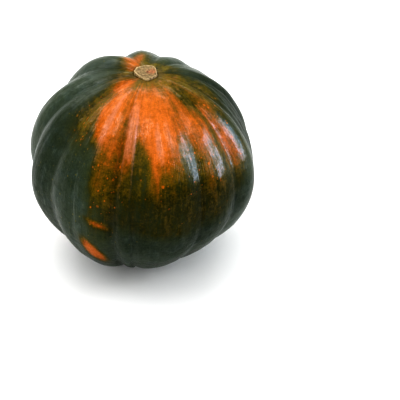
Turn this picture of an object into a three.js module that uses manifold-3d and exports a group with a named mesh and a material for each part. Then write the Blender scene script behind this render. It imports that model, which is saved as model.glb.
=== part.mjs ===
// A whole acorn squash: one ribbed fruit standing on its blossom end, with the corky stump of its stem on top.
// Millimetres. +Z is up through the stem and -Y is the front. Azimuths are degrees round the stem,
// 0 at the front and +90 at +X. Latitudes are degrees: -90 at the blossom end and +90 at the stem.

import * as THREE from 'three';
import { mergeVertices } from 'three/addons/utils/BufferGeometryUtils.js';
import Module from 'manifold-3d';

// ---- Driving dimensions ----

const fruit = {
	radius: 72, // of the rib crests at the widest place
	widestHeight: 66, // of the widest place above the ground
	crownHeight: 128, // where the crown would close if it had no dip
	tipDepth: 3.5, // how far the blossom end would reach below the ground
	crownPower: 0.95, // of the cosine above the widest place, lower for fuller shoulders
	tipPower: 1.16, // of the cosine below the widest place, higher for a more pointed tip
	dipDepth: 2,
	dipRadius: 14,
	leanX: 3, // sideways shift of the crown, and of the blossom end the other way
	leanY: 1.5,
	columns: 108,
	rows: 40,
	color: 0x2e3b2d,
	roughness: 0.4,
};

// Furrows between the ribs: depth in millimetres, then how fast the skin rises on the left and on the right and how
// rounded the bottom is, in degrees, then the distance from the stem at which the furrow has most of its depth.
const furrows = [
	{ azimuth: -160, depth: 4.5, left: 9, right: 9, softness: 2, start: 16 },
	{ azimuth: -122, depth: 5, left: 9, right: 8, softness: 2, start: 8 },
	{ azimuth: -90, depth: 6.5, left: 9, right: 9, softness: 1.8, start: 8 },
	{ azimuth: -54, depth: 5, left: 9, right: 8, softness: 2.6, start: 14 },
	{ azimuth: -36, depth: 0.9, left: 6, right: 4, softness: 1.5, start: 30 },
	{ azimuth: -14, depth: 3.4, left: 8, right: 7, softness: 2, start: 40 },
	{ azimuth: -14, depth: 1.4, left: 2.4, right: 1.3, softness: 0.9, start: 50 },
	{ azimuth: -4.5, depth: 2, left: 0.8, right: 9, softness: 0.3, start: 34 },
	{ azimuth: 32, depth: 4, left: 9, right: 11, softness: 1.4, start: 30 },
	{ azimuth: 55, depth: 4.3, left: 6, right: 12, softness: 1.3, start: 26 },
	{ azimuth: 78, depth: 4, left: 8, right: 8, softness: 1.8, start: 20 },
	{ azimuth: 105, depth: 4.5, left: 8, right: 8, softness: 2, start: 10 },
	{ azimuth: 144, depth: 5.5, left: 8, right: 7, softness: 1.6, start: 8 },
	{ azimuth: 170, depth: 4, left: 9, right: 9, softness: 2, start: 8 },
];
const furrowFade = 0.6; // power of the cosine that closes the furrows towards both ends

// Where single ribs grew fuller or flatter than the mean: millimetres, and half widths in degrees
const swells = [
	{ azimuth: -136, latitude: 38, height: 5.2, width: 17, span: 42 },
	{ azimuth: -104, latitude: 0, height: 4.6, width: 13, span: 36 },
	{ azimuth: -71, latitude: -12, height: 1.2, width: 11, span: 18 },
	{ azimuth: -55, latitude: -32, height: -1, width: 9, span: 14 },
	{ azimuth: -32, latitude: -45, height: 1.5, width: 18, span: 25 },
	{ azimuth: -10.5, latitude: 45, height: 0.6, width: 2.2, span: 60 },
	{ azimuth: 68, latitude: 5, height: 3.6, width: 12, span: 55 },
	{ azimuth: 92, latitude: 28, height: -4.8, width: 14, span: 38 },
	{ azimuth: 117, latitude: 30, height: -1.5, width: 12, span: 24 },
	{ azimuth: 127, latitude: 48, height: -3.6, width: 13, span: 28 },
	{ azimuth: 187, latitude: 45, height: 3.7, width: 16, span: 40 },
];
const swellFade = 0.3; // power of the cosine that closes the swells towards both ends

const blossomScar = { radius: 4.5, depth: 1.2, segments: 32 };

const stump = {
	radius: 8.7, // where none of its flat sides comes nearer
	sharpness: 10, // of the corners between the flat sides, higher for sharper ones
	seatDepth: 2, // of the seat in the crown
	clearance: 0.3, // between the stump and its seat
	segments: 60,
	color: 0xb39a6b,
	roughness: 0.9,
};
// Sides of the stump that grew flat, and how far each is from the middle
const stumpSides = [
	{ azimuth: -50, distance: 5.9 },
	{ azimuth: 40, distance: 7 },
	{ azimuth: 100, distance: 6.1 },
	{ azimuth: -105, distance: 8.4 },
];
// Half section of the stump: share of the outline's radius, and height above its underside
const stumpSection = [
	[0, 0],
	[0.93, 0],
	[1, 0.7],
	[1, 2.9],
	[0.95, 3.4],
	[0.85, 3.2],
	[0.5, 2.8],
	[0, 2.7],
];

// ---- Shape ----

const wasm = await Module();
wasm.setup();

const radians = THREE.MathUtils.degToRad;

// The signed angle from one azimuth to another, between -180 and 180
function turnFrom(start, azimuth) {
	return THREE.MathUtils.euclideanModulo(azimuth - start + 180, 360) - 180;
}

// The mean outline of the body, as a point of radius x and height y
function meanOutline(latitude) {
	const cosine = Math.max(Math.cos(radians(latitude)), 0);
	const sine = Math.sin(radians(latitude));
	if (sine <= 0) {
		const height = fruit.widestHeight + (fruit.widestHeight + fruit.tipDepth) * sine;
		return new THREE.Vector2(fruit.radius * cosine ** fruit.tipPower, height);
	}
	const radius = fruit.radius * cosine ** fruit.crownPower;
	const dip = fruit.dipDepth * Math.exp(-((radius / fruit.dipRadius) ** 2));
	return new THREE.Vector2(radius, fruit.widestHeight + (fruit.crownHeight - fruit.widestHeight) * sine - dip);
}

// How far the skin stands out from the mean outline, negative in a furrow
function skinOffset(azimuth, latitude, radius) {
	const cosine = Math.max(Math.cos(radians(latitude)), 0);
	let ribs = 0;
	for (const furrow of furrows) {
		const turn = turnFrom(furrow.azimuth, azimuth);
		const width = turn < 0 ? furrow.left : furrow.right;
		const reach = latitude > 0 ? 1 - Math.exp(-((radius / furrow.start) ** 2)) : 1;
		const rise = Math.hypot(turn, furrow.softness) - furrow.softness;
		ribs -= furrow.depth * reach * Math.exp(-rise / width);
	}
	let fullness = 0;
	for (const swell of swells) {
		const across = turnFrom(swell.azimuth, azimuth) / swell.width;
		const along = (latitude - swell.latitude) / swell.span;
		fullness += swell.height * Math.exp(-(across ** 2) - along ** 2);
	}
	return ribs * cosine ** furrowFade + fullness * cosine ** swellFade;
}

// A point of the skin: off the mean outline along its normal, round the axis, then leaned
function skinPoint(azimuth, latitude) {
	const outline = meanOutline(latitude);
	const step = 0.2;
	const below = meanOutline(Math.max(latitude - step, -90));
	const along = meanOutline(Math.min(latitude + step, 90)).sub(below).normalize();
	const offset = skinOffset(azimuth, latitude, outline.x);
	const radius = Math.max(outline.x + along.y * offset, 0);
	const height = outline.y - along.x * offset;
	const lean = (2 * height) / fruit.crownHeight - 1;
	return new THREE.Vector3(
		radius * Math.sin(radians(azimuth)) + fruit.leanX * lean,
		-radius * Math.cos(radians(azimuth)) + fruit.leanY * lean,
		height,
	);
}

function fruitGeometry() {
	const outline = [];
	for (let row = 0; row <= fruit.rows; row++) {
		outline.push(meanOutline(-90 + (180 * row) / fruit.rows));
	}
	const geometry = new THREE.LatheGeometry(outline, fruit.columns);
	const position = geometry.attributes.position;
	for (let i = 0; i < position.count; i++) {
		const column = Math.floor(i / outline.length);
		const row = i % outline.length;
		const point = skinPoint((360 * column) / fruit.columns, -90 + (180 * row) / fruit.rows);
		position.setXYZ(i, point.x, point.y, point.z);
	}
	return geometry;
}

// The stump's radius at an azimuth: the nearest of its round and its flat sides, with blunt corners between them
function stumpRadius(azimuth) {
	let nearness = stump.radius ** -stump.sharpness;
	for (const side of stumpSides) {
		const cosine = Math.max(Math.cos(radians(azimuth - side.azimuth)), 0);
		nearness += (cosine / side.distance) ** stump.sharpness;
	}
	return nearness ** (-1 / stump.sharpness);
}

// A body turned from a half section whose radii are shares of the stump's outline, plus some clearance
function stumpShape(section, clearance) {
	const outline = section.map(([share, height]) => new THREE.Vector2(share * stump.radius, height));
	const geometry = new THREE.LatheGeometry(outline, stump.segments);
	geometry.rotateX(Math.PI / 2);
	const position = geometry.attributes.position;
	for (let i = 0; i < position.count; i++) {
		// half a step round, so that no corner of the seat falls on an edge of the fruit
		const azimuth = (360 * (Math.floor(i / outline.length) + 0.5)) / stump.segments;
		const share = section[i % outline.length][0];
		const radius = share * (stumpRadius(azimuth) + clearance);
		position.setX(i, radius * Math.sin(radians(azimuth)));
		position.setY(i, -radius * Math.cos(radians(azimuth)));
	}
	return geometry;
}

// ---- Solids ----

function solidFrom(geometry) {
	geometry.deleteAttribute('normal');
	geometry.deleteAttribute('uv');
	const closed = mergeVertices(geometry, 1e-4);
	const vertProperties = new Float32Array(closed.attributes.position.array);
	const triVerts = new Uint32Array(closed.index.array);
	return new wasm.Manifold(new wasm.Mesh({ numProp: 3, vertProperties, triVerts }));
}

function geometryFrom(solid) {
	const mesh = solid.getMesh();
	const geometry = new THREE.BufferGeometry();
	geometry.setAttribute('position', new THREE.BufferAttribute(mesh.vertProperties, 3));
	geometry.setIndex(new THREE.BufferAttribute(mesh.triVerts, 1));
	geometry.computeVertexNormals();
	return geometry;
}

const crown = skinPoint(0, 90);
const seatHeight = crown.z - stump.seatDepth;

// Everything below the ground is cut away, which leaves a small lobed foot
function groundCutter() {
	const size = 4 * fruit.radius;
	return new THREE.BoxGeometry(size, size, size).translate(0, 0, -size / 2);
}

// A shallow cap of a sphere that dishes the middle of the foot
function blossomCutter() {
	const { radius, depth, segments } = blossomScar;
	const ball = (radius ** 2 + depth ** 2) / (2 * depth);
	const tip = skinPoint(0, -90);
	return new THREE.SphereGeometry(ball, 2 * segments, segments)
		.rotateX(Math.PI / 2)
		.translate(tip.x, tip.y, depth - ball);
}

function seatCutter() {
	const top = 4 * stump.seatDepth;
	const section = [
		[0, 0],
		[1, 0],
		[1, top],
		[0, top],
	];
	return stumpShape(section, stump.clearance).translate(crown.x, crown.y, seatHeight);
}

const fruitSolid = solidFrom(fruitGeometry())
	.subtract(solidFrom(groundCutter()))
	.subtract(solidFrom(blossomCutter()))
	.subtract(solidFrom(seatCutter()));

// ---- Scene graph ----

const fruitMesh = new THREE.Mesh(
	geometryFrom(fruitSolid),
	new THREE.MeshStandardMaterial({ color: fruit.color, roughness: fruit.roughness, metalness: 0 }),
);
fruitMesh.name = 'fruit';

const stumpMesh = new THREE.Mesh(
	stumpShape(stumpSection, 0),
	new THREE.MeshStandardMaterial({ color: stump.color, roughness: stump.roughness, metalness: 0 }),
);
stumpMesh.name = 'stem_stump';
stumpMesh.position.set(crown.x, crown.y, seatHeight + stump.clearance);

const group = new THREE.Group();
group.add(fruitMesh, stumpMesh);

// The origin is on the ground under the middle of the whole squash
const middle = new THREE.Box3().setFromObject(group).getCenter(new THREE.Vector3());
group.position.set(-middle.x, -middle.y, 0);

export default group;
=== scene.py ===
import math
import random

import bmesh
import bpy
import numpy as np
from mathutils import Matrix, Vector, noise


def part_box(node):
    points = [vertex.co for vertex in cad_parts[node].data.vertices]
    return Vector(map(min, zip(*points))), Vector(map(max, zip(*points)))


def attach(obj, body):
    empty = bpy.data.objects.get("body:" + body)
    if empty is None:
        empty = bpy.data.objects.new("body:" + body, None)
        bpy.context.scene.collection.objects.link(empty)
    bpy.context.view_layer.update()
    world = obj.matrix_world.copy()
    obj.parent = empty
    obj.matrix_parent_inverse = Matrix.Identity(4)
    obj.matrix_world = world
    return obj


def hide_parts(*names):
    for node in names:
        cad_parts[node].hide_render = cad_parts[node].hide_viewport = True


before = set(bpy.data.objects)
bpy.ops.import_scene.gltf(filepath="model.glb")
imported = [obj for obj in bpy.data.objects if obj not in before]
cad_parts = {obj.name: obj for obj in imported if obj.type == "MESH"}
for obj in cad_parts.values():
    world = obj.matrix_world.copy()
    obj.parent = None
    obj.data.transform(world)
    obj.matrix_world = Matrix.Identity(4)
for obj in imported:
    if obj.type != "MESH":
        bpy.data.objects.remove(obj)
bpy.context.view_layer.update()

# An acorn squash standing on its blossom end. Shapes are worked out in millimetres and stored in metres.
# Azimuths are degrees round the stem, 0 at the front and +90 at +X. Latitudes are +90 degrees at the stem.

mm = 0.001
mergeDistance = 0.002    # points nearer than this are one point, in millimetres
fruitLow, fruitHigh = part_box("fruit")
stumpLow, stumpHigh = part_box("stem_stump")
print("frame loaded")


def turned(name, chain, columns, marks):
    # spins a chain of (radius, height) round Z into a closed mesh that keeps the marks of its points
    bm = bmesh.new()
    layers = {mark: bm.verts.layers.float.new(mark) for mark in marks}
    points = []
    for row, (radius, height) in enumerate(chain):
        point = bm.verts.new((0, -radius * mm, height * mm))
        for mark, layer in layers.items():
            point[layer] = marks[mark][row]
        points.append(point)
    edges = [bm.edges.new(pair) for pair in zip(points, points[1:])]
    bmesh.ops.spin(bm, geom=points + edges, cent=(0, 0, 0), axis=(0, 0, 1), angle=2 * math.pi,
                   steps=columns, use_merge=True)
    bmesh.ops.remove_doubles(bm, verts=bm.verts, dist=mergeDistance * mm)
    bmesh.ops.recalc_face_normals(bm, faces=bm.faces)
    mesh = bpy.data.meshes.new(name)
    bm.to_mesh(mesh)
    bm.free()
    mesh.polygons.foreach_set("use_smooth", [True] * len(mesh.polygons))
    piece = bpy.data.objects.new(name, mesh)
    bpy.context.scene.collection.objects.link(piece)
    return piece


def meshPoints(mesh):
    # points in millimetres
    flat = np.empty(len(mesh.vertices) * 3, np.float32)
    mesh.vertices.foreach_get("co", flat)
    return flat.reshape(-1, 3).astype(float) / mm


def movePoints(mesh, points):
    mesh.vertices.foreach_set("co", (points * mm).astype(np.float32).ravel())
    mesh.update()


def middleOf(low, high):
    # middle of a box in X and Y, in millimetres
    return (low.x + high.x) / 2 / mm, (low.y + high.y) / 2 / mm


def readMark(mesh, name):
    flat = np.empty(len(mesh.vertices), np.float32)
    mesh.attributes[name].data.foreach_get("value", flat)
    return flat.astype(float)


def writeMark(mesh, name, values):
    attribute = mesh.attributes.new(name, "FLOAT", "POINT")
    attribute.data.foreach_set("value", np.asarray(values, np.float32))


def writeGrain(mesh, grain):
    attribute = mesh.attributes.new("grain", "FLOAT_VECTOR", "POINT")
    attribute.data.foreach_set("vector", np.asarray(grain, np.float32).ravel())


def noiseAt(points, size, octaves, seed):
    # fractal noise of about -1 to 1, with features of a size in millimetres
    shift = Vector((seed * 7.3, seed * 3.1, seed * 5.7))
    return np.array([noise.fractal(Vector(point) / size + shift, 1, 2, octaves) for point in points])


def turnFrom(start, azimuth):
    return (azimuth - start + 180) % 360 - 180


def azimuthOf(points):
    return np.degrees(np.arctan2(points[:, 0], -points[:, 1]))


fruitShape = {
    "radius": 72,          # of the rib crests at the widest place
    "widestHeight": 66,
    "crownHeight": 128,    # where the crown would close if it had no dip
    "tipDepth": 3.5,       # how far the blossom end would reach below the ground
    "crownPower": 0.95,
    "tipPower": 1.16,
    "dipDepth": 2,
    "dipRadius": 14,
    "lean": (3, 1.5),      # sideways shift of the crown
    "rows": 196,
    "columns": 456,
    "latitudeStep": 0.2,   # for finding the outline's slope

    "footRounding": 1.0,   # half height of the rounded edge of the foot
    "scarRadius": 4.5,     # blossom scar under the fruit
    "scarDepth": 1.2,
    "scarPower": 1.5,

    "seatDepth": 2.0,      # of the seat round the stump
    "seatRings": [1, 0.98, 0.6, 0.3, 0],  # shares of its radius
    "clearance": 0.15,
    "seatBlend": 18,       # radius at which the crown is no longer drawn to the stump's outline
    "collarWidth": 4,      # of the stained skin round the stump

    # azimuth, depth, width to the left and to the right, softness, distance from the stem at full depth
    "furrows": [
        (-160, 4.5, 9, 9, 2, 16),
        (-122, 5, 9, 8, 2, 8),
        (-90, 6.5, 9, 9, 1.8, 8),
        (-54, 5, 9, 8, 2.6, 14),
        (-36, 0.9, 6, 4, 1.5, 30),
        (-14, 3.4, 8, 7, 2, 40),
        (-14, 1.4, 2.4, 1.3, 0.9, 50),
        (-4.5, 2, 0.8, 9, 0.3, 34),
        (32, 4, 9, 11, 1.4, 30),
        (55, 4.3, 6, 12, 1.3, 26),
        (78, 4, 8, 8, 1.8, 20),
        (105, 4.5, 8, 8, 2, 10),
        (144, 5.5, 8, 7, 1.6, 8),
        (170, 4, 9, 9, 2, 8),
    ],
    "furrowFade": 0.6,     # power of the cosine of the latitude
    "deepFurrow": 5,       # depth that counts as a whole furrow in the painted furrow shade

    # azimuth, latitude, height, half width, half span of the ribs that grew fuller or flatter
    "swells": [
        (-136, 38, 5.2, 17, 42),
        (-104, 0, 4.6, 13, 36),
        (-71, -12, 1.2, 11, 18),
        (-55, -32, -1, 9, 14),
        (-32, -45, 1.5, 18, 25),
        (-10.5, 45, 0.6, 2.2, 60),
        (68, 5, 3.6, 12, 55),
        (92, 28, -4.8, 14, 38),
        (117, 30, -1.5, 12, 24),
        (127, 48, -3.6, 13, 28),
        (187, 45, 3.7, 16, 40),
    ],
    "swellFade": 0.3,      # power of the cosine of the latitude

    # azimuth, depth, width of the fine creases along the ribs
    "creases": [
        (-145, 0.25, 2.2), (-135, 0.2, 1.8), (-112, 0.25, 2.0), (-103, 0.2, 1.6), (-80, 0.3, 2.0),
        (-70, 0.25, 1.8), (-62, 0.2, 1.6), (-46, 0.3, 2.2), (-37, 0.6, 1.8), (3, 0.2, 2.0),
        (13, 0.3, 1.3), (50.5, 0.25, 1.6), (71, 0.25, 1.8), (88, 0.3, 2.2), (95, 0.25, 1.8),
        (118, 0.25, 2.2), (127, 0.2, 1.8), (150, 0.25, 2.2), (160, 0.2, 1.8), (182, 0.25, 2.2),
        (192, 0.2, 1.6),
    ],
    "creaseWander": 1.2,   # degrees to either side
    "creaseWaves": 2.3,    # degrees of the wave for each degree of latitude
    "creaseOffset": 7,     # degrees of the wave for each degree of azimuth, so that no two run alike
    "creaseMiddle": 0.6,   # share of the depth at the widest place
    "creaseSpan": 50,      # degrees of latitude in which that share changes by 1
    "creaseLeast": 0.15,

    # unevenness of the skin
    "broadSize": 26,
    "broadHeight": 0.5,
    "smallSize": 7,
    "smallHeight": 0.1,
    "lumpFade": 3,         # the lumps fade where the cosine of the latitude is under 1/3
    "dents": 60,
    "dentDepth": 0.22,
    "dentLeast": 0.3,      # share of that depth which the shallowest has
    "dentRadius": (0.9, 2.2),
    "dentSeed": 11,
}

# Strokes of colour, gloss, painted highlight and painted shade on the skin: azimuth, latitude, half width,
# half span, lean, strength, softness of the edge. A strength of 0.3 turns the green olive, 0.45 brown, 0.6
# burnt orange and 0.8 vivid orange.
rindStrokes = {
    "olive": [
        (0, 92, 400, 15, 0, 0.42, 0.25),  # ring round the stem
        (16, 62, 63, 26, 0, 0.3, 0.2), (20, 24, 46.5, 34, 0, 0.24, 0.05),
        (-49, 61, 10, 18, 0, 0.45, 0.35), (82, 68, 13, 12, 0, 0.2, 0.35), (-80, 77, 18, 6, 0, 0.2, 0.4),
        (-20, -6, 6, 12, 0, 0.18, 0.4), (153, -10, 16, 30, 0.1, 0.33, 0.15),
        (-104, -38, 8, 14, 0.2, 0.3, 0.25),
    ],
    "orange": [
        # front left rib
        (-30, 58, 10.5, 15, 0.12, 0.95, 0.1), (-19, 56, 8, 16, 0, 0.5, 0.15),
        (-19, 38, 7.5, 13, 0, 0.33, 0.3), (-25, 20, 2.2, 14, 0, 0.25, 0.5),
        (-18, 18, 2.5, 6, 0, 0.2, 0.5),
        # narrow ridge beside it
        (-8.5, 56, 3.6, 20, 0, 0.5, 0.14), (-8.5, 36, 3, 8, 0, 0.2, 0.3),
        (-12.8, 31, 1.4, 7, 0, 0.22, 0.4),
        # front rib
        (8, 61, 18, 14, 0, 0.64, 0.16), (12, 49, 10, 11, 0, 0.56, 0.2), (0, 56, 6, 12, 0, 0.55, 0.15),
        (7.5, 34, 3, 16, 0, 0.5, 0.3), (15, 37, 7, 11, 0, 0.4, 0.3), (16, 34, 6, 8, 0, 0.15, 0.4),
        # ribs at the right
        (28, 58, 12, 13, 0, 0.45, 0.2), (34, 68, 8, 7, 0, 0.35, 0.3), (40, 50, 9, 14, 0, 0.48, 0.25),
        (43, 31, 6, 15, 0, 0.3, 0.3), (57, 42, 4.5, 18, 0, 0.38, 0.25), (60, 30, 6, 12, 0, 0.42, 0.3),
        (60, 60, 7, 9, 0, 0.25, 0.4), (36, 21, 4, 8, 0, 0.3, 0.4), (66, 54, 5, 9, 0, 0.22, 0.4),
        # round the crown
        (-50, 77.5, 15, 4.5, 0, 0.88, 0.4), (-14, 69, 20, 7, 0, 0.5, 0.25),
        (4, 74, 22, 4.5, 0, 0.45, 0.4), (75, 78, 24, 4, 0, 0.25, 0.4),
        (-147, 75.5, 17, 8, -1.7, 0.62, 0.3), (-164, 75, 12, 6, -1.2, 0.45, 0.3),
        (-132, 83, 22, 4, 0, 0.6, 0.3),
        # low patches in front
        (-21.5, -2.2, 2.5, 2.3, 1.3, 0.8, 0.4), (-25.5, -24, 4, 9.5, 0.38, 0.95, 0.2),
        # sides and back
        (150, -22, 9, 17, 0.1, 0.85, 0.15), (157, 6, 5, 13, 0, 0.5, 0.2),
        (-104, -38, 5, 8, 0.2, 0.7, 0.25), (98, -12, 4, 9, 0, 0.55, 0.3),
    ],
    "orangeBreaks": [
        (-20, 54, 3.5, 13, 0, 0.3, 0.3), (-14, 78, 20, 2.6, 0, 0.3, 0.4),
        (-14, 36, 1.7, 22, 0, 0.2, 0.3), (-3.6, 52, 1.2, 20, 0, 0.3, 0.3),
        (-2, 34, 3.5, 13, 0, 0.85, 0.2), (28, 37, 4, 11, 0, 0.65, 0.25), (32, 60, 4, 9, 0, 0.3, 0.3),
        (34, 27, 4, 14, 0, 0.5, 0.3), (44, 34, 2.2, 10, 0, 0.4, 0.3), (49, 67, 7.5, 6.5, 0, 0.9, 0.2),
        (51, 46, 1.7, 18, 0, 0.6, 0.3), (64.5, 38, 2.6, 12, 0, 0.55, 0.3),
    ],
    # where the olive is yellowish
    "yellowness": [
        (0, 88, 400, 12, 0, 0.7, 0.2), (-49, 62, 11, 18, 0, 0.7, 0.3), (48, 66, 9, 8, 0, 0.45, 0.3),
        (80, 64, 20, 14, 0, 0.6, 0.3),
    ],
    # darker skin: partly the rind's own blackish green, partly painted shade low on the front, on the
    # underside and in the furrow beside the narrow ridge
    "darkToneAndShade": [
        (22, -2, 44, 24, 0, 0.9, 0.12), (-5, -45, 60, 26, 0, 0.8, 0.3), (-116, 71, 14, 8, 0, 0.6, 0.4),
        (-68, 15, 12, 60, 0, 0.78, 0.3), (-48, -35, 14, 25, 0, 0.5, 0.3), (-46, 20, 7, 16, 0, 0.4, 0.4),
        (-36, 18, 9, 30, 0, 0.5, 0.35), (-19, 27, 7, 12, 0, 0.35, 0.4), (-14, 30, 1.8, 30, 0, 0.5, 0.3),
        (-8.5, 25, 4, 13, 0, 0.5, 0.3), (16, 18, 8, 6, 0, 0.4, 0.4), (50, 65.5, 9, 6.5, 0, 0.65, 0.3),
        (72, 60, 12, 16, 0, 0.2, 0.4), (93, 26, 17, 36, 0, 0.9, 0.25), (112, 45, 14, 30, 0, 0.6, 0.3),
    ],
    # painted highlights and sheen along the crests, mostly long and narrow
    "paintedSheen": [
        (-85, 79, 20, 4, 0, 0.35, 0.4), (-73.5, 62, 2, 16, 0, 0.5, 0.5),
        (-39.5, -20, 1.6, 10, 0, 0.5, 0.4), (-38.5, 55, 0.8, 9, 0.12, 0.4, 0.4),
        (-34.2, 0, 0.7, 26, 0.09, 0.5, 0.5), (-28.5, 57, 2.6, 15, 0, 0.85, 0.5),
        (-13.3, 60, 0.9, 12, 0, 0.5, 0.4), (-11.6, 21, 0.8, 14, 0, 0.3, 0.6),
        (-11.4, 48, 0.6, 17, 0, 0.4, 0.35), (-8.6, 53, 3.2, 17, 0, 0.55, 0.12),
        (-5.8, 52, 0.7, 16, 0, 0.7, 0.35), (-5.8, 24, 0.6, 16, 0, 0.33, 0.6),
        (10, 46, 1.8, 9, 0.05, 0.8, 0.4), (18, 47, 1.5, 9, 0, 0.65, 0.4),
        (45, 80.5, 4, 0.7, 0, 0.7, 0.4), (79.5, 52, 0.6, 18, -0.2, 0.5, 0.4),
        (85, 77, 4, 0.7, 0, 0.6, 0.4), (89.5, 45, 0.8, 20, -0.45, 0.95, 0.4),
    ],
    # where the wax is dull
    "dullness": [
        (-116, 71, 14, 8, 0, 0.8, 0.4), (-94, 70, 12, 9, 0, 0.4, 0.4), (-58, 60, 8, 14, 0, 0.8, 0.3),
        (-37, 53, 5, 9, 0, 0.6, 0.4), (-17, 56, 5, 16, 0, 0.5, 0.3), (44, 51, 6, 6, 0, 0.8, 0.3),
        (94, 30, 17, 50, 0, 0.8, 0.3),
    ],
    # where the orange speckles are thickest
    "speckling": [
        (-50, 60, 12, 20, 0, 0.9, 0.2), (-48, 0, 30, 60, 0, 0.22, 0.3), (-43, 38, 9, 20, 0, 0.45, 0.3),
        (-40, 28, 9, 30, 0, 0.2, 0.3), (-27, -4, 12, 12, 0, 0.25, 0.4), (-19, 35, 8, 17, 0, 0.9, 0.2),
        (-17, 11, 4, 5, 0, 0.9, 0.3), (8, 29, 8, 12, 0, 0.5, 0.3), (10, 66, 60, 12, 0, 0.3, 0.3),
        (20, 27, 9, 11, 0, 0.6, 0.3), (40, 36, 10, 20, 0, 0.9, 0.2), (60, 42, 8, 20, 0, 0.8, 0.2),
    ],
}


def outlineAt(latitude):
    # mean outline as radius and height
    shape = fruitShape
    cosine = np.clip(np.cos(np.radians(latitude)), 0, 1)
    sine = np.sin(np.radians(latitude))
    power = np.where(sine > 0, shape["crownPower"], shape["tipPower"])
    radius = shape["radius"] * cosine ** power
    above = shape["crownHeight"] - shape["widestHeight"]
    below = shape["widestHeight"] + shape["tipDepth"]
    dip = np.where(sine > 0, shape["dipDepth"] * np.exp(-(radius / shape["dipRadius"]) ** 2), 0)
    return radius, shape["widestHeight"] + np.where(sine > 0, above, below) * sine - dip


def furrowDepth(azimuth, latitude, radius):
    depth = np.zeros_like(azimuth)
    for place, deepest, left, right, softness, start in fruitShape["furrows"]:
        turn = turnFrom(place, azimuth)
        width = np.where(turn < 0, left, right)
        reach = np.where(latitude > 0, 1 - np.exp(-(radius / start) ** 2), 1)
        depth += deepest * reach * np.exp(-(np.hypot(turn, softness) - softness) / width)
    return depth


def swellHeight(azimuth, latitude):
    height = np.zeros_like(azimuth)
    for place, middle, most, width, span in fruitShape["swells"]:
        across = turnFrom(place, azimuth) / width
        height += most * np.exp(-across ** 2 - ((latitude - middle) / span) ** 2)
    return height


def creaseDepth(azimuth, latitude):
    shape = fruitShape
    depth = np.zeros_like(azimuth)
    for place, deepest, width in shape["creases"]:
        wave = np.sin(np.radians(latitude * shape["creaseWaves"] + place * shape["creaseOffset"]))
        turn = turnFrom(place + shape["creaseWander"] * wave, azimuth)
        depth += deepest * np.exp(-(turn / width) ** 2)
    share = shape["creaseMiddle"] + latitude / shape["creaseSpan"]
    return depth * np.clip(share, shape["creaseLeast"], 1)


def dentDepth(points):
    # a few shallow scars and dents, scattered over the skin
    shape = fruitShape
    chooser = random.Random(shape["dentSeed"])
    depth = np.zeros(len(points))
    for dent in range(shape["dents"]):
        centre = points[chooser.randrange(len(points))]
        radius = chooser.uniform(*shape["dentRadius"])
        deepest = shape["dentDepth"] * chooser.uniform(shape["dentLeast"], 1)
        depth += deepest * np.exp(-(np.linalg.norm(points - centre, axis=1) / radius) ** 2)
    return depth


def lumpHeight(points):
    shape = fruitShape
    lumps = shape["broadHeight"] * noiseAt(points, shape["broadSize"], 2, 1)
    lumps += shape["smallHeight"] * noiseAt(points, shape["smallSize"], 2, 2)
    return lumps - dentDepth(points)


def skinPoints(azimuth, latitude, lumps):
    # radius and height of the skin, off the mean outline along its normal, and the furrows' depth
    shape = fruitShape
    radius, height = outlineAt(latitude)
    lowRadius, lowHeight = outlineAt(np.maximum(latitude - shape["latitudeStep"], -90))
    highRadius, highHeight = outlineAt(np.minimum(latitude + shape["latitudeStep"], 90))
    length = np.hypot(highRadius - lowRadius, highHeight - lowHeight)
    outwards = (highHeight - lowHeight) / length
    upwards = -(highRadius - lowRadius) / length
    cosine = np.clip(np.cos(np.radians(latitude)), 0, 1)
    furrow = furrowDepth(azimuth, latitude, radius)
    offset = -furrow * cosine ** shape["furrowFade"]
    offset += swellHeight(azimuth, latitude) * cosine ** shape["swellFade"]
    offset -= creaseDepth(azimuth, latitude) * cosine
    offset += lumps * np.minimum(cosine * shape["lumpFade"], 1)
    return np.maximum(radius + outwards * offset, 0), height + upwards * offset, furrow


def strokes(azimuth, latitude, name):
    # how much of the skin is covered by the soft-edged strokes of one name, 0 to 1
    bare = np.ones_like(azimuth)
    farPast = 50           # keeps the exponential small
    for place, middle, width, span, lean, strength, softness in rindStrokes[name]:
        along = latitude - middle
        across = turnFrom(place, azimuth) + lean * along
        past = (np.hypot(across / width, along / span) - 1) / softness
        bare *= 1 - strength / (1 + np.exp(np.minimum(past, farPast)))
    return 1 - bare


def markFruit(mesh, azimuth, latitude):
    olive = strokes(azimuth, latitude, "olive")
    orange = strokes(azimuth, latitude, "orange") * (1 - strokes(azimuth, latitude, "orangeBreaks"))
    writeMark(mesh, "warmth", 1 - (1 - olive) * (1 - orange))
    for mark in ("yellowness", "darkToneAndShade", "paintedSheen", "dullness", "speckling"):
        writeMark(mesh, mark, strokes(azimuth, latitude, mark))
    turn = np.radians(azimuth)
    writeGrain(mesh, np.column_stack([np.sin(turn), np.cos(turn), latitude / 90]))


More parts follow.
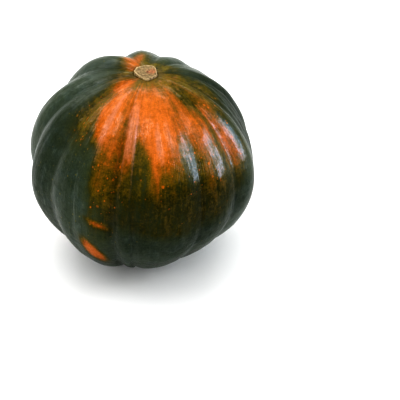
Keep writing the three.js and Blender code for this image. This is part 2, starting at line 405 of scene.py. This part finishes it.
def makeFruit():
    shape = fruitShape
    seatRadius = stumpShape["radius"] + shape["clearance"]
    seatLatitude = math.degrees(math.acos((seatRadius / shape["radius"]) ** (1 / shape["crownPower"])))
    seatHeight = shape["crownHeight"] - shape["dipDepth"] - shape["seatDepth"]
    rings = shape["seatRings"]
    outside = 2            # seat mark of the skin outside the seat
    latitudes = np.linspace(-90, seatLatitude, shape["rows"])
    chain = list(zip(*outlineAt(latitudes)))
    chain += [(ring * seatRadius, seatHeight) for ring in rings]
    marks = {
        "latitude": list(latitudes) + [seatLatitude] * len(rings),
        "seat": [outside] * len(latitudes) + rings,
    }
    fruit = turned("fruit_skin", chain, shape["columns"], marks)
    mesh = fruit.data
    points = meshPoints(mesh)
    latitude = readMark(mesh, "latitude")
    seat = readMark(mesh, "seat")
    azimuth = azimuthOf(points)
    radius, height, furrow = skinPoints(azimuth, latitude, lumpHeight(points))

    # the crown closes on the stump's own outline, with the stump's seat inside it
    inSeat = seat < outside - 0.5
    radius = np.where(inSeat, seat * seatRadius, radius)
    height = np.where(inSeat, seatHeight, height)
    nearness = np.clip((shape["seatBlend"] - radius) / (shape["seatBlend"] - seatRadius), 0, 1)
    outline = (stumpRadius(azimuth) + shape["clearance"]) / seatRadius
    radius *= 1 + (outline - 1) * nearness ** 2 * (3 - 2 * nearness)

    lean = 2 * height / shape["crownHeight"] - 1
    x = radius * np.sin(np.radians(azimuth)) + shape["lean"][0] * lean
    y = -radius * np.cos(np.radians(azimuth)) + shape["lean"][1] * lean

    # what would lie under the ground is the flat foot, with the blossom scar in its middle
    edge = shape["footRounding"]
    height = np.where(height < edge, np.maximum(height + edge, 0) ** 2 / (4 * edge), height)
    hollow = np.clip(1 - (radius / shape["scarRadius"]) ** 2, 0, 1) ** shape["scarPower"]
    height = np.where(latitude < 0, height + shape["scarDepth"] * hollow, height)

    # the middle of the skin goes where the frame has it
    middleX, middleY = middleOf(fruitLow, fruitHigh)
    x += middleX - (x.min() + x.max()) / 2
    y += middleY - (y.min() + y.max()) / 2
    movePoints(mesh, np.column_stack([x, y, height]))

    markFruit(mesh, azimuth, latitude)
    # the furrows' depth, which darkens the colour as painted shade
    writeMark(mesh, "furrow", furrow / shape["deepFurrow"])
    fromStump = np.maximum(radius - seatRadius, 0)
    writeMark(mesh, "collar", np.exp(-fromStump / shape["collarWidth"]) * (latitude > 0))
    return fruit


stumpShape = {
    "radius": 8.7,         # where none of its flat sides comes nearer
    "sharpness": 10,       # of the corners between the flat sides
    "sides": [(-50, 5.9), (40, 7), (100, 6.1), (-105, 8.4)],  # azimuth and distance from the middle
    "columns": 144,
    # half section: share of the outline's radius, and height above the underside
    "section": [
        (0, 0), (0.6, 0), (0.9, 0), (0.96, 0.15), (1, 0.7), (1, 1.5), (1, 2.3), (1, 2.7), (0.99, 3.1),
        (0.97, 3.34), (0.945, 3.4), (0.92, 3.34), (0.88, 3.2), (0.83, 3.08), (0.76, 3.0), (0.66, 2.94),
        (0.56, 2.9), (0.46, 2.86), (0.36, 2.82), (0.27, 2.8), (0.18, 2.77), (0.09, 2.74), (0, 2.7),
    ],
    "rimRow": 8,           # of the section, where the top begins
    "rimShare": 0.95,      # of the radius, where the ragged rim is highest
    "rimWidth": 0.045,
    "faceShare": 0.93,     # of the radius, inside which the cut face lies
    "raggedSize": 1.6,
    "coarseSize": 4.5,
    "grainSquash": 0.3,    # of the height, so that the noise runs down the wall
    "wobble": 0.035,       # of the outline, as a share of the radius
    "wobbleSize": 2.6,
    "wobbleFrom": 0.5,     # of the radius, inside which nothing wobbles
    "rimRoughness": 0.35,
    "rimWear": 0.3,
    "rimDeepest": 0.9,
    "faceRagged": 0.14,
    "faceCoarse": 0.18,
    "faceSink": 0.08,
    "pitFade": 6,          # the face is level within 1/6 of the radius
    "wallPaleness": 0.7,   # of the wall, against the rim
    "heart": (0.4, 1.3),   # place of the dark dot on the face, from the middle
    "heartRadius": 0.9,
    "heartDepth": 0.3,
    "flush": (3.0, 1.2),   # middle of the pinkish side of the face
    "flushRadius": 4.5,
}


def stumpRadius(azimuth):
    shape = stumpShape
    nearness = shape["radius"] ** -shape["sharpness"]
    for side, distance in shape["sides"]:
        cosine = np.maximum(np.cos(np.radians(azimuth - side)), 0)
        nearness = nearness + (cosine / distance) ** shape["sharpness"]
    return nearness ** (-1 / shape["sharpness"])


def spotAt(x, y, place, radius):
    # 1 in the middle of a round soft spot, 0 far from it
    return np.exp(-(np.hypot(x - place[0], y - place[1]) / radius) ** 2)


def makeStump():
    shape = stumpShape
    chain = [(share * shape["radius"], height) for share, height in shape["section"]]
    marks = {"share": [share for share, height in shape["section"]], "row": list(range(len(chain)))}
    stump = turned("stump_cork", chain, shape["columns"], marks)
    mesh = stump.data
    points = meshPoints(mesh)
    share = readMark(mesh, "share")
    row = readMark(mesh, "row")
    azimuth = azimuthOf(points)
    radius = share * stumpRadius(azimuth)
    height = points[:, 2].copy()
    x = radius * np.sin(np.radians(azimuth))
    y = -radius * np.cos(np.radians(azimuth))

    # the rim is thin and ragged, the face is cracked and pitted
    top = row >= shape["rimRow"]
    rim = np.exp(-((share - shape["rimShare"]) / shape["rimWidth"]) ** 2) * top
    face = top * (share < shape["faceShare"])
    grain = np.column_stack([x, y, height * shape["grainSquash"]])
    ragged = noiseAt(grain, shape["raggedSize"], 3, 3)
    coarse = noiseAt(grain, shape["coarseSize"], 2, 4)
    level = np.column_stack([x, y, np.zeros_like(x)])
    outer = share > shape["wobbleFrom"]
    wobble = 1 + shape["wobble"] * noiseAt(level, shape["wobbleSize"], 2, 5) * outer
    x *= wobble
    y *= wobble
    wear = shape["rimRoughness"] * (ragged + coarse) - shape["rimWear"]
    height += rim * np.clip(wear, -shape["rimDeepest"], 0.0)
    pits = shape["faceRagged"] * ragged + shape["faceCoarse"] * coarse - shape["faceSink"]
    height += face * pits * np.minimum(share * shape["pitFade"], 1)
    heart = spotAt(x, y, shape["heart"], shape["heartRadius"]) * top
    flush = spotAt(x, y, shape["flush"], shape["flushRadius"]) * face
    height -= shape["heartDepth"] * heart

    middleX, middleY = middleOf(stumpLow, stumpHigh)
    x += middleX - (x.min() + x.max()) / 2
    y += middleY - (y.min() + y.max()) / 2
    height = np.minimum(height, (stumpHigh.z - stumpLow.z) / mm) + stumpLow.z / mm
    movePoints(mesh, np.column_stack([x, y, height]))
    wall = (row < shape["rimRow"]) * shape["wallPaleness"]
    writeMark(mesh, "rim", np.maximum(rim, wall))
    writeMark(mesh, "heart", heart)
    writeMark(mesh, "flush", flush)
    return stump


fruit = makeFruit()
print("fruit modelled:", len(fruit.data.polygons), "faces")
stump = makeStump()
print("stump modelled:", len(stump.data.polygons), "faces")


class NodeBoard:
    # short calls for one material's nodes

    def __init__(self, name):
        self.material = bpy.data.materials.new(name)
        self.material.use_nodes = True
        self.nodes = self.material.node_tree.nodes
        self.links = self.material.node_tree.links
        self.shader = self.nodes["Principled BSDF"]

    def connect(self, source, socket):
        if isinstance(source, bpy.types.NodeSocket):
            self.links.new(source, socket)
        else:
            socket.default_value = source

    def math(self, operation, first, second):
        node = self.nodes.new("ShaderNodeMath")
        node.operation = operation
        self.connect(first, node.inputs[0])
        self.connect(second, node.inputs[1])
        return node.outputs[0]

    def sum(self, first, second):
        return self.math("ADD", first, second)

    def times(self, first, second):
        return self.math("MULTIPLY", first, second)

    def blend(self, sources, weights, start=0.0):
        # start, and each of the named sources times its weight
        for name, weight in weights.items():
            start = self.sum(start, self.times(sources[name], weight))
        return start

    def attribute(self, name, output="Fac"):
        node = self.nodes.new("ShaderNodeAttribute")
        node.attribute_name = name
        return node.outputs[output]

    def attributes(self, *names):
        return {name: self.attribute(name) for name in names}

    def place(self):
        return self.nodes.new("ShaderNodeTexCoord").outputs["Object"]

    def stretched(self, vector, scale):
        node = self.nodes.new("ShaderNodeMapping")
        self.connect(vector, node.inputs["Vector"])
        node.inputs["Scale"].default_value = scale
        return node.outputs[0]

    def noiseNode(self, vector, scale, detail, roughness):
        node = self.nodes.new("ShaderNodeTexNoise")
        self.connect(vector, node.inputs["Vector"])
        node.inputs["Scale"].default_value = scale
        node.inputs["Detail"].default_value = detail
        node.inputs["Roughness"].default_value = roughness
        return node

    def noise(self, vector, scale, detail, roughness):
        # centred on zero, about -0.5 to 0.5
        return self.math("SUBTRACT", self.noiseNode(vector, scale, detail, roughness).outputs["Fac"], 0.5)

    def cells(self, vector, scale):
        node = self.nodes.new("ShaderNodeTexVoronoi")
        self.connect(vector, node.inputs["Vector"])
        node.inputs["Scale"].default_value = scale
        return node.outputs["Distance"], node.outputs["Color"]

    def ramp(self, value, stops):
        node = self.nodes.new("ShaderNodeValToRGB")
        self.connect(value, node.inputs[0])
        elements = node.color_ramp.elements
        while len(elements) < len(stops):
            elements.new(0.5)
        for element, (position, color) in zip(elements, stops):
            element.position = position
            element.color = (*color, 1)
        return node.outputs["Color"]

    def range(self, value, low, high, newLow=0.0, newHigh=1.0):
        node = self.nodes.new("ShaderNodeMapRange")
        node.interpolation_type = "SMOOTHSTEP"
        self.connect(value, node.inputs["Value"])
        limits = {"From Min": low, "From Max": high, "To Min": newLow, "To Max": newHigh}
        for name, number in limits.items():
            node.inputs[name].default_value = number
        return node.outputs["Result"]

    def spread(self, sources, weights, *limits):
        # the sources' weighted sum, drawn out from one range to another
        return self.range(self.blend(sources, weights), *limits)

    def mix(self, factor, first, second, blend="MIX"):
        node = self.nodes.new("ShaderNodeMix")
        node.data_type = "RGBA"
        node.blend_type = blend
        self.connect(factor, node.inputs["Factor"])
        for socket, value in ((node.inputs["A"], first), (node.inputs["B"], second)):
            self.connect((*value, 1) if isinstance(value, tuple) else value, socket)
        return node.outputs["Result"]

    def layered(self, color, sources, layers, within=1.0):
        # lays one tint after another over a colour, each where its own spread is strong
        for tint, *recipe in layers.values():
            color = self.mix(self.times(self.spread(sources, *recipe), within), color, tint)
        return color

    def bumps(self, sources, rows):
        # one bump on another: name of the source, distance in metres, strength
        normal = None
        for name, distance, strength in rows:
            node = self.nodes.new("ShaderNodeBump")
            node.inputs["Distance"].default_value = distance
            node.inputs["Strength"].default_value = strength
            self.connect(sources[name], node.inputs["Height"])
            if normal is not None:
                self.connect(normal, node.inputs["Normal"])
            normal = node.outputs["Normal"]
        return normal

    def finish(self, piece, **shaderInputs):
        for name, value in shaderInputs.items():
            self.connect(value, self.shader.inputs[name.replace("_", " ")])
        piece.data.materials.append(self.material)


# Colours are linear red, green and blue. A noise is its scale per metre, detail and roughness. A spread is
# the weights of its sources, the sum where it begins and where it ends, and its own value at these two.
rindFinish = {
    "skinTones": [
        (0.0, (0.056, 0.076, 0.046)), (0.12, (0.056, 0.068, 0.026)), (0.26, (0.056, 0.052, 0.004)),
        (0.38, (0.11, 0.078, 0.002)), (0.50, (0.18, 0.092, 0.002)), (0.62, (0.28, 0.100, 0.004)),
        (0.78, (0.42, 0.125, 0.010)), (1.0, (0.52, 0.150, 0.018)),
    ],

    "streaks": ((18, 18, 3), 3, 0.55),      # stretched along the ribs
    "fineStreaks": ((80, 80, 7), 2, 0.55),
    "clouds": (110, 3, 0.6),
    "mottle": (300, 4, 0.65),
    "grit": (900, 2, 0.6),

    "ragged": {"streaks": 0.5, "fineStreaks": 0.15, "clouds": 0.36, "mottle": 0.42, "grit": 0.2},
    "raggedShare": (0.0, 0.35, 0.2, 1.0),   # the green skin is less ragged than the warm skin
    "olivePart": (0.75, 0.45),              # of the warmth, where the skin is no longer orange
    "greenPart": (0.25, 0.0),               # where it isn't even olive
    "warmPart": (0.1, 0.4),                 # where the painted highlight turns from pale green to pink

    # tint, then its spread
    "oliveLayers": {
        "yellow": ((0.15, 0.115, 0.008),
                   {"yellowness": 1, "clouds": 1.2, "mottle": 1.2}, 0.3, 0.8, 0, 0.8),
    },
    "greenLayers": {
        "bloom": ((0.066, 0.092, 0.070), {"clouds": 1}, -0.1, 0.2, 0, 0.8),
        "darkClouds": ((0.029, 0.048, 0.024), {"mottle": 0.7, "streaks": 0.6}, 0.0, 0.22, 0, 0.6),
        "scuffs": ((0.15, 0.18, 0.14),
                   {"fineStreaks": 1, "mottle": 0.7, "clouds": 0.4}, 0.12, 0.36, 0, 0.4),
    },
    # tints of the painted highlight on green and on warm skin, and where it is laid
    "paintedSheenGreen": (0.15, 0.18, 0.14),
    "paintedSheenWarm": (0.46, 0.21, 0.13),
    "paintedSheenSpread": ({"paintedSheen": 1, "fineStreaks": 0.5, "mottle": 0.5}, 0.1, 0.9, 0, 0.7),

    # cells to a unit of the grain, least and most radius in cells, share of the cells that stay empty where
    # there is no speckling, and how much of that share it takes away where it is thickest
    "smallSpeckles": {"perUnit": 46, "least": 0.12, "most": 0.42, "empty": 0.99, "fewer": 0.45},
    "largeSpeckles": {"perUnit": 20, "least": 0.1, "most": 0.32, "empty": 0.985, "fewer": 0.4},
    "smallStrength": 0.85,
    "largeStrength": 0.8,
    "speckleStretch": (1, 1, 1.3),
    "speckleShake": 0.5,                    # how far the noise pulls a speckle out of shape, in cells
    "speckleEdge": (-0.06, 0.1),
    "faintest": 0.4,                        # of the speckles' strengths
    "speckleOrange": (0.62, 0.17, 0.01),
    "specklePale": (0.18, 0.16, 0.03),
    "speckleOrangePart": (0.08, 0.3),       # of the warmth

    "collarLayers": {"collar": ((0.12, 0.085, 0.018), {"collar": 1}, 0.35, 1.0, 0, 0.7)},
    "brightness": 1.05,
    # the colour's brightness: painted shade from the darker strokes and the furrows' depth, and tone that
    # varies at random
    "paintedShadeAndTone": {"darkToneAndShade": -0.5, "furrow": -0.17, "grit": 0.6, "mottle": 0.5, "fineStreaks": 0.12},

    "roughness": 0.36,
    "unevenGloss": {"mottle": 0.2},
    "refraction": 1.2,
    "shine": ({"darkToneAndShade": 1, "warmth": 0.5}, 0.2, 0.8, 0.5, 0.1),
    "wax": ({"mottle": 1, "streaks": 0.5, "fineStreaks": 0.7}, -0.14, 0.16, 0.05, 0.27),
    "waxRoughness": 0.13,
    "waxLeft": ({"dullness": 1}, 0.0, 1.0, 1.0, 0.0),
    "lineShare": (0.1, 0.4, 0.3, 1.0),      # the fine lines are shallower on the green skin
    "bumps": [
        ("lines", 0.0005, 0.6), ("clouds", 0.0012, 0.4), ("mottle", 0.0005, 0.7), ("dots", 0.0002, 0.4),
    ],
}


def speckles(board, place, speckling, perUnit, least, most, empty, fewer):
    # small blotches, one at most in each cell, kept in the cells whose number is over a limit
    look = rindFinish
    shaken = board.nodes.new("ShaderNodeVectorMath")
    shaken.operation = "MULTIPLY_ADD"
    shake = board.noiseNode(place, perUnit * 2, 2, 0.5)
    board.connect(shake.outputs["Color"], shaken.inputs[0])
    shaken.inputs[1].default_value = [look["speckleShake"] / perUnit] * 3
    board.connect(place, shaken.inputs[2])
    distance, cellColor = board.cells(shaken.outputs[0], perUnit)
    number = board.nodes.new("ShaderNodeSeparateColor")
    board.connect(cellColor, number.inputs[0])
    limit = board.sum(empty, board.times(speckling, -fewer))
    kept = board.math("GREATER_THAN", number.outputs[0], limit)
    uneven = board.times(number.outputs[1], number.outputs[1])
    size = board.sum(least, board.times(uneven, most - least))
    edge = board.range(board.math("SUBTRACT", size, distance), *look["speckleEdge"])
    strength = board.sum(look["faintest"], board.times(number.outputs[2], 1 - look["faintest"]))
    return board.times(edge, board.times(kept, strength))


def rindSources(board):
    # marks of the skin, and noise that the colours, the wax and the bumps share
    look = rindFinish
    place = board.place()
    grain = board.attribute("grain", "Vector")
    sources = board.attributes("warmth", "yellowness", "darkToneAndShade", "paintedSheen", "dullness", "speckling",
                               "furrow", "collar")
    for name in ("streaks", "fineStreaks"):
        stretch, detail, roughness = look[name]
        sources[name] = board.noise(board.stretched(grain, stretch), 1, detail, roughness)
    for name in ("clouds", "mottle", "grit"):
        sources[name] = board.noise(place, *look[name])
    lineShare = board.range(sources["warmth"], *look["lineShare"])
    sources["lines"] = board.times(sources["fineStreaks"], lineShare)

    along = board.stretched(grain, look["speckleStretch"])
    small = speckles(board, along, sources["speckling"], **look["smallSpeckles"])
    large = speckles(board, along, sources["speckling"], **look["largeSpeckles"])
    sources["dots"] = board.math("MAXIMUM", board.times(small, look["smallStrength"]),
                                 board.times(large, look["largeStrength"]))
    return sources


def rindColor(board, sources):
    # the warm patches fade out in streaks and mottling, and the plain green stays plain
    look = rindFinish
    ragged = board.times(board.blend(sources, look["ragged"]),
                         board.range(sources["warmth"], *look["raggedShare"]))
    warmth = board.sum(sources["warmth"], ragged)
    color = board.ramp(warmth, look["skinTones"])
    color = board.layered(color, sources, look["oliveLayers"], board.range(warmth, *look["olivePart"]))
    color = board.layered(color, sources, look["greenLayers"], board.range(warmth, *look["greenPart"]))

    # painted highlights along the crests, small orange speckles and larger pale ones, and the stained skin
    # round the stump
    pale = board.mix(board.range(warmth, *look["warmPart"]), look["paintedSheenGreen"], look["paintedSheenWarm"])
    color = board.mix(board.spread(sources, *look["paintedSheenSpread"]), color, pale)
    isOrange = board.range(warmth, *look["speckleOrangePart"])
    speckle = board.mix(isOrange, look["specklePale"], look["speckleOrange"])
    color = board.mix(sources["dots"], color, speckle)
    color = board.layered(color, sources, look["collarLayers"])
    # painted shade from the darker strokes and the furrows, with tone that varies at random
    shade = board.blend(sources, look["paintedShadeAndTone"], look["brightness"])
    return board.mix(1.0, color, shade, "MULTIPLY")


def rindMaterial(piece):
    look = rindFinish
    board = NodeBoard("waxyRind")
    sources = rindSources(board)
    color = rindColor(board, sources)
    roughness = board.blend(sources, look["unevenGloss"], look["roughness"])
    shine = board.spread(sources, *look["shine"])
    wax = board.times(board.spread(sources, *look["wax"]), board.spread(sources, *look["waxLeft"]))
    board.finish(piece, Base_Color=color, Roughness=roughness, Normal=board.bumps(sources, look["bumps"]),
                 IOR=look["refraction"], Specular_IOR_Level=shine, Coat_Weight=wax,
                 Coat_Roughness=look["waxRoughness"])


corkFinish = {
    "coarse": (620, 4, 0.65),
    "fine": (1500, 3, 0.6),
    "tones": [
        (0.0, (0.06, 0.038, 0.015)), (0.35, (0.16, 0.115, 0.05)), (0.6, (0.27, 0.19, 0.09)),
        (1.0, (0.48, 0.36, 0.21)),
    ],
    "middleTone": 0.5,
    "unevenTone": {"coarse": 1.4, "fine": 1.1},
    "layers": {
        "flush": ((0.42, 0.14, 0.06), {"flush": 1, "fine": 1.4, "coarse": 1.6}, 0.5, 1.1, 0, 0.7),
        "rim": ((0.56, 0.43, 0.25), {"rim": 1, "coarse": 1.8, "fine": 1}, 0.35, 1.0, 0, 0.9),
        "heart": ((0.12, 0.025, 0.01), {"heart": 1}, 0.3, 0.75, 0, 1),
    },
    "roughness": 0.85,
    "unevenGloss": {"fine": 0.2},
    "shine": 0.25,
    "bumps": [("coarse", 0.0006, 0.5), ("fine", 0.0004, 0.8)],
}


def corkMaterial(piece):
    look = corkFinish
    board = NodeBoard("dryCork")
    place = board.place()
    sources = board.attributes("flush", "rim", "heart")
    for name in ("coarse", "fine"):
        sources[name] = board.noise(place, *look[name])
    color = board.ramp(board.blend(sources, look["unevenTone"], look["middleTone"]), look["tones"])
    color = board.layered(color, sources, look["layers"])
    roughness = board.blend(sources, look["unevenGloss"], look["roughness"])
    board.finish(piece, Base_Color=color, Roughness=roughness, Normal=board.bumps(sources, look["bumps"]),
                 Specular_IOR_Level=look["shine"])


rindMaterial(fruit)
corkMaterial(stump)
print("materials made")

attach(fruit, "root")
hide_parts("fruit")
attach(stump, "root")
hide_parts("stem_stump")

studio = {
    "floorSize": 4.0,
    "floorGap": 0.0001,
    "floorTone": 0.9,
    "floorRoughness": 0.9,
    "floorShine": 0.1,
    "worldTone": (1.0, 1.0, 1.0),
    "worldStrength": 0.4,
    "target": (0.00067, 0.0003, 0.0645),
    # azimuth, elevation, distance, width, height, brightness, colour, and whether it is soft light on the
    # surfaces or a sheen that only their gloss shows
    "lights": {
        "window": (86, 27, 0.9, 0.4, 0.36, 4.2, (0.98, 0.99, 1.0), "soft"),
        "windowSheen": (84, 20, 0.9, 0.42, 0.76, 19, (0.5, 0.68, 1.0), "sheen"),
        "upperLeft": (-84, 60, 1.0, 0.9, 0.8, 1.2, (1.0, 1.0, 1.0), "soft"),
        "upperLeftSheen": (-90, 52, 1.0, 0.36, 0.2, 9, (1.0, 0.98, 1.0), "sheen"),
        "topFront": (14, 66, 1.0, 0.8, 0.7, 1.05, (1.0, 0.99, 0.97), "soft"),
        "topRightSheen": (60, 60, 1.0, 0.26, 0.36, 6, (1.0, 0.95, 0.97), "sheen"),
        "topSheen": (-45, 74, 1.0, 0.3, 0.34, 8, (1.0, 0.97, 1.0), "sheen"),
        "front": (-22, 30, 1.2, 0.9, 0.6, 1.5, (1.0, 1.0, 1.0), "soft"),
        "back": (180, 50, 1.2, 1.4, 0.7, 2.1, (0.99, 1.0, 1.0), "soft"),
        "backLeftSheen": (-140, 40, 1.1, 0.7, 0.6, 3, (0.95, 0.98, 1.0), "sheen"),
        "backRightSheen": (135, 42, 1.1, 0.4, 0.6, 1.0, (0.9, 0.96, 1.0), "sheen"),
        "backSheen": (172, 52, 1.1, 0.8, 0.3, 3.2, (0.9, 0.96, 1.0), "sheen"),
    },
    "cameraElevation": 36,
    "cameraDistance": 0.85,
    "lens": 123,
    "sensor": 36,
    "aimRight": 0.0362,    # the squash stands left of the middle and above it
    "aimDown": 0.0247,
}


def makeFloor():
    bm = bmesh.new()
    bmesh.ops.create_grid(bm, x_segments=1, y_segments=1, size=studio["floorSize"] / 2)
    bmesh.ops.translate(bm, verts=bm.verts, vec=(0, 0, -studio["floorGap"]))
    mesh = bpy.data.meshes.new("floor")
    bm.to_mesh(mesh)
    bm.free()
    floor = bpy.data.objects.new("floor", mesh)
    bpy.context.scene.collection.objects.link(floor)
    tone = studio["floorTone"]
    board = NodeBoard("paleFloor")
    board.finish(floor, Base_Color=(tone, tone, tone, 1), Roughness=studio["floorRoughness"],
                 Specular_IOR_Level=studio["floorShine"])


def direction(azimuth, elevation):
    turn, rise = math.radians(azimuth), math.radians(elevation)
    return Vector((math.sin(turn) * math.cos(rise), -math.cos(turn) * math.cos(rise), math.sin(rise)))


def makeLights():
    for name, row in studio["lights"].items():
        azimuth, elevation, distance, width, height, brightness, color, use = row
        light = bpy.data.lights.new(name, "AREA")
        light.shape = "RECTANGLE"
        light.size = width
        light.size_y = height
        light.energy = brightness * math.pi * width * height
        light.color = color
        lamp = bpy.data.objects.new(name, light)
        away = direction(azimuth, elevation)
        lamp.location = Vector(studio["target"]) + away * distance
        lamp.rotation_euler = away.to_track_quat("Z", "Y").to_euler()
        lamp.visible_diffuse = use == "soft"
        lamp.visible_glossy = use == "sheen"
        bpy.context.scene.collection.objects.link(lamp)


def makeWorld():
    world = bpy.data.worlds.new("studioWorld")
    world.use_nodes = True
    background = world.node_tree.nodes["Background"]
    background.inputs["Color"].default_value = (*studio["worldTone"], 1)
    background.inputs["Strength"].default_value = studio["worldStrength"]
    bpy.context.scene.world = world


def makeCamera():
    back = direction(0, studio["cameraElevation"])
    up = direction(180, 90 - studio["cameraElevation"])
    aim = Vector(studio["target"]) + Vector((studio["aimRight"], 0, 0)) - up * studio["aimDown"]
    data = bpy.data.cameras.new("camera")
    data.lens = studio["lens"]
    data.sensor_width = studio["sensor"]
    camera = bpy.data.objects.new("camera", data)
    camera.location = aim + back * studio["cameraDistance"]
    camera.rotation_euler = back.to_track_quat("Z", "Y").to_euler()
    bpy.context.scene.collection.objects.link(camera)
    bpy.context.scene.camera = camera


makeFloor()
makeLights()
makeWorld()
makeCamera()
bpy.context.scene.view_settings.view_transform = "Standard"
bpy.context.scene.view_settings.look = "Very High Contrast"
print("studio ready")
